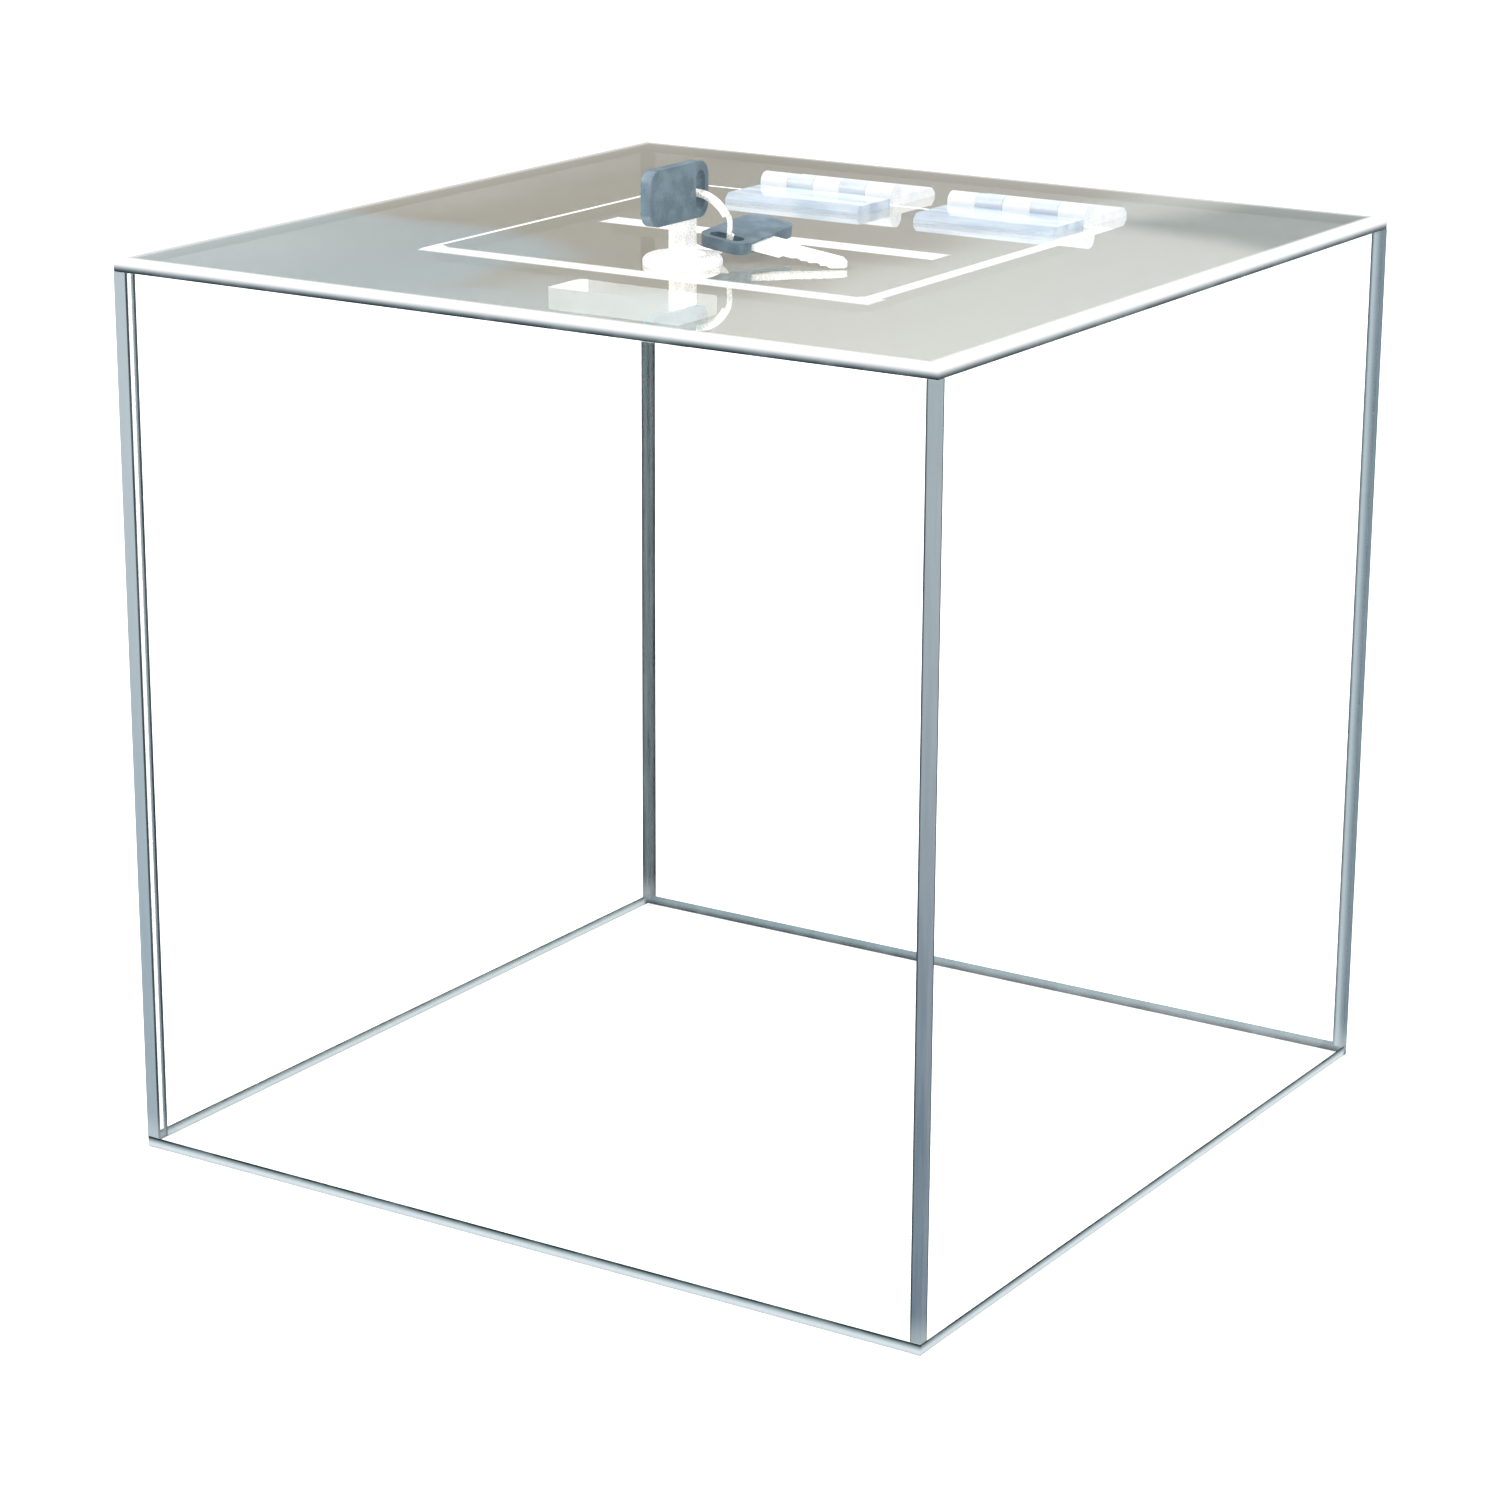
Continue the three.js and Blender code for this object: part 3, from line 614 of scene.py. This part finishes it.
def keeper_faces(face):
    """The keeper's sides, its left end, then its flat faces."""
    if abs(face.normal.z) > FACING:
        return 2
    return 1 if face.normal.x < -FACING else 0


EDGE_ROUNDING = 0.25


def make_case():
    corner_walls()
    side_walls()
    slot, width = "acrylic_sheet", EDGE_ROUNDING
    rounded_node("base_panel", [CLEAR, BASE_EDGE], 0.2, 2, base_faces)
    rounded_node("top_panel", [LID_FACE, CLEAR, LID_EDGE, CUT_EDGE], width, 2, top_faces)
    rounded_node("lock_keeper", [KEEPER_SIDE, KEEPER_END, CLEAR], width, 2, keeper_faces)


def make_door():
    materials = [LID_FACE, CLEAR, CUT_EDGE]
    rounded_node("door_panel", materials, EDGE_ROUNDING, 2, door_faces)


def make_hinges():
    for side in ("hinge_left", "hinge_right"):
        rounded_node(side + "_case_leaf", [HINGE_CASE], 0.4)
        rounded_node(side + "_door_leaf", [HINGE_DOOR], 0.4)
        rounded_node(side + "_pin", [HINGE_CASE], 0.2, 2)


# ------------------------------------------------------------------ lock and keys

BEZEL_LOW, BEZEL_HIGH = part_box("lock_body")
LOCK_CENTRE = middle("lock_plug")
BEZEL_R = (BEZEL_HIGH.x - BEZEL_LOW.x) / 2
DOME_INSET = 2.6 * MM
DOME_DROP = 1.8 * MM
DOME_STEPS = 10
RIM_CHAMFER = 0.15 * MM
THREAD_R = 8.0 * MM
THREAD_DEPTH = 0.35 * MM
THREAD_PITCH = 1.0 * MM
THREAD_ROWS = 88
FLATS_HALF = 7.0 * MM
FLATS_HEAD = -4.0 * MM
BORE_R = 5.5 * MM
BORE_LEAD = 0.7 * MM
BORE_LEAD_DROP = 0.6 * MM
BARREL_FOOT = -16.0 * MM
LUG_TURN = math.radians(45)
LUG_R = 6.9 * MM
LUG_HALF = 0.9 * MM
AROUND = 96


def thread_radius(angle, height):
    """The barrel's radius at a height: a helical thread that fades out under the bezel."""
    if height > FLATS_HEAD + THREAD_PITCH or height <= BARREL_FOOT:
        return THREAD_R
    phase = (height / THREAD_PITCH + angle / (2 * math.pi)) % 1.0
    radius = THREAD_R - THREAD_DEPTH * abs(2 * phase - 1)
    across = abs(math.cos(angle)) * radius
    return radius * FLATS_HALF / across if height < FLATS_HEAD and across > FLATS_HALF else radius


def lock_body_rings():
    """Radius and height up the bore and over the bezel's dome, then thread rows, which have no radius."""
    face = BEZEL_HIGH.z - LID
    rings = [(BORE_R, BARREL_FOOT), (BORE_R, face - BORE_LEAD_DROP), (BORE_R + BORE_LEAD, face)]
    for i in range(DOME_STEPS + 1):
        turn = math.pi / 2 * i / DOME_STEPS
        radius = BEZEL_R - DOME_INSET * (1 - math.sin(turn))
        rings.append((radius, face - DOME_DROP * (1 - math.cos(turn))))
    rings += [(BEZEL_R, RIM_CHAMFER), (BEZEL_R - RIM_CHAMFER, 0), (THREAD_R, 0)]
    rings += [(None, BARREL_FOOT * i / THREAD_ROWS) for i in range(1, THREAD_ROWS + 1)]
    return rings


def add_lug(bm):
    """The stop lug on the barrel's end."""
    low = BEZEL_LOW.z - LID
    turn = Matrix.Rotation(LUG_TURN, 3, "Z")
    sides = ((-1, -1), (1, -1), (1, 1), (-1, 1))
    levels = []
    for height in (low, BARREL_FOOT + MM):
        corners = [Vector((LUG_R + LUG_HALF * a, LUG_HALF * b, height)) for a, b in sides]
        levels.append([bm.verts.new(turn @ corner) for corner in corners])
    bm.faces.new(list(reversed(levels[0])))
    bm.faces.new(levels[1])
    join_rings(bm, levels[0], levels[1])


def join_rings(bm, first, second):
    """A band of faces between two loops of as many corners."""
    count = len(first)
    for i in range(count):
        j = (i + 1) % count
        bm.faces.new([first[i], first[j], second[j], second[i]])


def make_lock_body():
    """The bezel and threaded barrel, one closed turned shape, with the stop lug."""
    bm = bmesh.new()
    loops = []
    for radius, height in lock_body_rings():
        loop = []
        for i in range(AROUND):
            angle = 2 * math.pi * i / AROUND
            r = thread_radius(angle, height) if radius is None else radius
            loop.append(bm.verts.new((r * math.cos(angle), r * math.sin(angle), height)))
        loops.append(loop)
    for first, second in zip(loops, loops[1:] + loops[:1]):
        join_rings(bm, first, second)
    add_lug(bm)
    bmesh.ops.translate(bm, verts=bm.verts, vec=(LOCK_CENTRE.x, LOCK_CENTRE.y, LID))
    new_piece("lock_body_form", to_mesh(bm, "lock_body"), "lock_body", [NICKEL])


def make_lock():
    make_lock_body()
    rounded_node("lock_plug", [NICKEL], 0.15, 2)
    for node, width in (
        ("lock_spur_washer", 0.12), ("lock_nut", 0.3), ("lock_stop_washer", 0.12),
        ("lock_cam", 0.3), ("cam_spring_washer", 0.12), ("cam_screw", 0.2),
    ):
        rounded_node(node, [ZINC], width, 2)
    for i in range(1, 5):
        rounded_node(f"lock_wafer_{i}", [BRASS], 0.08, 1)


BOW_PANEL_END = 2.2 * MM
BOW_PANEL_MARGIN = 1.3 * MM
BOW_PANEL_DEPTH = 0.3 * MM
GROOVE_LOW = -1.6 * MM
GROOVE_HIGH = -0.4 * MM
GROOVE_HEAD = 4.0 * MM
GROOVE_MARGIN = 0.12 * MM
GROOVE_DEPTH = 0.35 * MM
NEAR_FACE = 0.1 * MM


def sink(bm, choose, margin, depth):
    """Sinks the chosen part of a key's two flat faces, each as one panel."""
    for side in (-1, 1):
        outer = max(side * vert.co.x for vert in bm.verts) - NEAR_FACE
        faces = [
            face for face in bm.faces
            if face.normal.x * side > FACING and side * face.calc_center_median().x > outer
            and choose(face.calc_center_median())
        ]
        bmesh.ops.inset_region(
            bm, faces=faces, thickness=margin, depth=-depth, use_even_offset=True, use_boundary=True)


def bow_bmesh():
    """The bow with a shallow panel sunk in each face, beside the eye."""
    bm = cad_bmesh("key_1_bow")
    edge = middle("key_1_blade").y + BOW_PANEL_END
    split_at(bm, 1, edge)
    sink(bm, lambda point: point.y < edge, BOW_PANEL_MARGIN, BOW_PANEL_DEPTH)
    return bm


def blade_bmesh():
    """The blade with a groove milled down each side."""
    bm = cad_bmesh("key_1_blade")
    centre = middle("key_1_blade").y
    low, high, head = centre + GROOVE_LOW, centre + GROOVE_HIGH, BEZEL_HIGH.z + GROOVE_HEAD
    split_at(bm, 1, low)
    split_at(bm, 1, high)
    split_at(bm, 2, head)
    sink(bm, lambda point: low < point.y < high and point.z < head, GROOVE_MARGIN, GROOVE_DEPTH)
    return bm


KEY_SEAT = 3.1 * MM
KEY_2_PLACE = (24.9 * MM, -29.794 * MM, 3.37 * MM)
KEY_2_TILT = math.radians(7)
KEY_2_ROLL = math.radians(4)


def lay_key_2():
    """The move from the first key, upright in the lock, to the second, which lies on the door."""
    seat = Vector((LOCK_CENTRE.x, LOCK_CENTRE.y, LID + KEY_SEAT))
    flat = Matrix(((0, 0, -1), (0, -1, 0), (-1, 0, 0))).transposed().to_4x4()
    turn = Matrix.Rotation(KEY_2_ROLL, 4, "X") @ Matrix.Rotation(KEY_2_TILT, 4, "Y") @ flat
    place = Matrix.Translation(Vector(KEY_2_PLACE) + Vector((0, 0, LID)))
    return place @ turn @ Matrix.Translation(-seat)


def make_keys():
    for key, move in (("key_1", Matrix.Identity(4)), ("key_2", lay_key_2())):
        for part, build, finish, slot, width, segments in (
            ("blade", blade_bmesh, NICKEL, "nickel", 0.15, 2),
            ("bow", bow_bmesh, BOW, "key_plastic", 0.55, 3),
        ):
            node = f"{key}_{part}"
            bm = build()
            bmesh.ops.transform(bm, matrix=move, verts=bm.verts)
            piece = new_piece(node + "_form", to_mesh(bm, node), node, [finish])
            round_edges(piece, width, segments)
    make_ring()


RING_LEAN = math.radians(20)
RING_R = 9.0 * MM
RING_RADIAL = 1.4 * MM
RING_AXIAL = 1.1 * MM
COIL_SHIFT = 0.62 * MM
RING_STEPS = 144
RING_START = 20
RING_SWEEP = 680
CROSS_START = 345
CROSS_SWEEP = 30
SECTION_CORNER = 0.42 * MM


def ring_section():
    """The wire's flattened section: pairs of radial and axial offsets."""
    points = []
    for a, b, start in ((1, 1, 0), (-1, 1, 90), (-1, -1, 180), (1, -1, 270)):
        for step in (0, 45, 90):
            turn = math.radians(start + step)
            points.append((
                a * (RING_RADIAL / 2 - SECTION_CORNER) + SECTION_CORNER * math.cos(turn),
                b * (RING_AXIAL / 2 - SECTION_CORNER) + SECTION_CORNER * math.sin(turn)))
    return points


def make_ring():
    """Two flat coils of wire, crossing over once, with both ends cut square."""
    centre = middle("key_ring")
    axis = Vector((0, math.cos(RING_LEAN), math.sin(RING_LEAN)))
    side = Vector((1, 0, 0))
    up = side.cross(axis)
    bm = bmesh.new()
    loops = []
    for i in range(RING_STEPS + 1):
        degrees = RING_START + RING_SWEEP * i / RING_STEPS
        angle = math.radians(degrees)
        cross = min(max((degrees - CROSS_START) / CROSS_SWEEP, 0), 1)
        shift = COIL_SHIFT * (2 * cross * cross * (3 - 2 * cross) - 1)
        out = side * math.cos(angle) + up * math.sin(angle)
        loops.append([
            bm.verts.new(centre + out * (RING_R + radial) + axis * (shift + axial))
            for radial, axial in ring_section()])
    for first, second in zip(loops, loops[1:]):
        join_rings(bm, first, second)
    bm.faces.new(list(reversed(loops[0])))
    bm.faces.new(loops[-1])
    new_piece("key_ring_form", to_mesh(bm, "key_ring"), "key_ring", [WIRE])


# ------------------------------------------------------------------ studio

FLOOR_HALF = 30.0
FLOOR_DROP = 0.2 * MM
ROOM_WARM = (0.27, 0.24, 0.2, 1)
ROOM_GREY = (0.42, 0.42, 0.4, 1)
SKY_WHITE = (2.3, 2.35, 2.4, 1)
SKY_LOW, SKY_HIGH = 0.5, 0.75


def make_floor():
    bm = bmesh.new()
    corners = [(-1, -1), (1, -1), (1, 1), (-1, 1)]
    bm.faces.new([bm.verts.new((FLOOR_HALF * x, FLOOR_HALF * y, -FLOOR_DROP)) for x, y in corners])
    mesh = bpy.data.meshes.new("floor")
    bm.to_mesh(mesh)
    bm.free()
    floor = bpy.data.objects.new("floor", mesh)
    bpy.context.scene.collection.objects.link(floor)
    made, t = material("pale_floor")
    place, _, _, _ = t.place()
    soft = t.noise(place, scale=0.002)
    colour = t.blend(t.ramp(soft, 0.3, 0.7), (0.93, 0.93, 0.93, 1), (0.9, 0.9, 0.9, 1))
    surface = t.add("BsdfPrincipled", {
        "Base Color": colour, "Roughness": 0.9, "IOR": 1.2,
        "Emission Color": WHITE, "Emission Strength": 0.3,
    })
    t.finish(surface.outputs[0])
    mesh.materials.append(made)


def make_world():
    """Soft white light from above, and below it a warm dim room for the gloss to mirror."""
    world = bpy.data.worlds.new("studio")
    bpy.context.scene.world = world
    t = Tree(world)
    direction = t.add("TexCoord").outputs["Generated"]
    height = t.add("SeparateXYZ", {0: direction}).outputs[2]
    patches = t.noise(direction, scale=2.2, detail=1.0)
    room = t.blend(t.ramp(patches, 0.4, 0.62), ROOM_WARM, ROOM_GREY)
    sky = t.blend(t.ramp(height, SKY_LOW, SKY_HIGH), room, SKY_WHITE)
    soft = t.add("Background", {"Color": sky, "Strength": 1.0}).outputs[0]
    plain = t.add("Background", {"Color": WHITE, "Strength": 1.0}).outputs[0]
    camera = t.add("LightPath").outputs["Is Camera Ray"]
    t.add("OutputWorld", {"Surface": t.shaders(camera, soft, plain)})


def area_light(name, place, target, size, power):
    data = bpy.data.lights.new(name, "AREA")
    data.shape = "DISK"
    data.size = size
    data.energy = power
    light = bpy.data.objects.new(name, data)
    bpy.context.scene.collection.objects.link(light)
    light.location = place
    light.rotation_mode = "QUATERNION"
    light.rotation_quaternion = (Vector(target) - Vector(place)).to_track_quat("-Z", "Y")


def make_lights():
    area_light("key_light", (-1.2, -2.2, 2.0), (0, 0, 0.2), 1.6, 60)
    area_light("fill_light", (2.4, -0.8, 1.6), (0, 0, 0.2), 1.4, 30)


CAMERA_AZIMUTH = math.radians(32.54)
CAMERA_ELEVATION = math.radians(16.86)
CAMERA_ROLL = math.radians(0.29)
CAMERA_TARGET = Vector((0.0002, -0.0097, 0.1092))
CAMERA_DISTANCE = 1.18
CAMERA_LENS = 99.92
CAMERA_SENSOR = 36.0


def make_camera():
    data = bpy.data.cameras.new("camera")
    data.lens = CAMERA_LENS
    data.sensor_width = CAMERA_SENSOR
    data.clip_start = 0.05
    data.clip_end = 100.0
    camera = bpy.data.objects.new("camera", data)
    bpy.context.scene.collection.objects.link(camera)
    level = math.cos(CAMERA_ELEVATION)
    back = Vector((
        math.sin(CAMERA_AZIMUTH) * level, -math.cos(CAMERA_AZIMUTH) * level, math.sin(CAMERA_ELEVATION)))
    right = Vector((math.cos(CAMERA_AZIMUTH), math.sin(CAMERA_AZIMUTH), 0))
    up = back.cross(right)
    across = right * math.cos(CAMERA_ROLL) + up * math.sin(CAMERA_ROLL)
    upward = up * math.cos(CAMERA_ROLL) - right * math.sin(CAMERA_ROLL)
    turn = Matrix((across, upward, back)).transposed().to_4x4()
    camera.matrix_world = Matrix.Translation(CAMERA_TARGET + back * CAMERA_DISTANCE) @ turn
    bpy.context.scene.camera = camera


make_camera()
make_case()
make_door()
make_hinges()
make_lock()
make_keys()
make_floor()
make_world()
make_lights()

scene = bpy.context.scene
scene.view_settings.view_transform = "Standard"
scene.cycles.transparent_max_bounces = 32
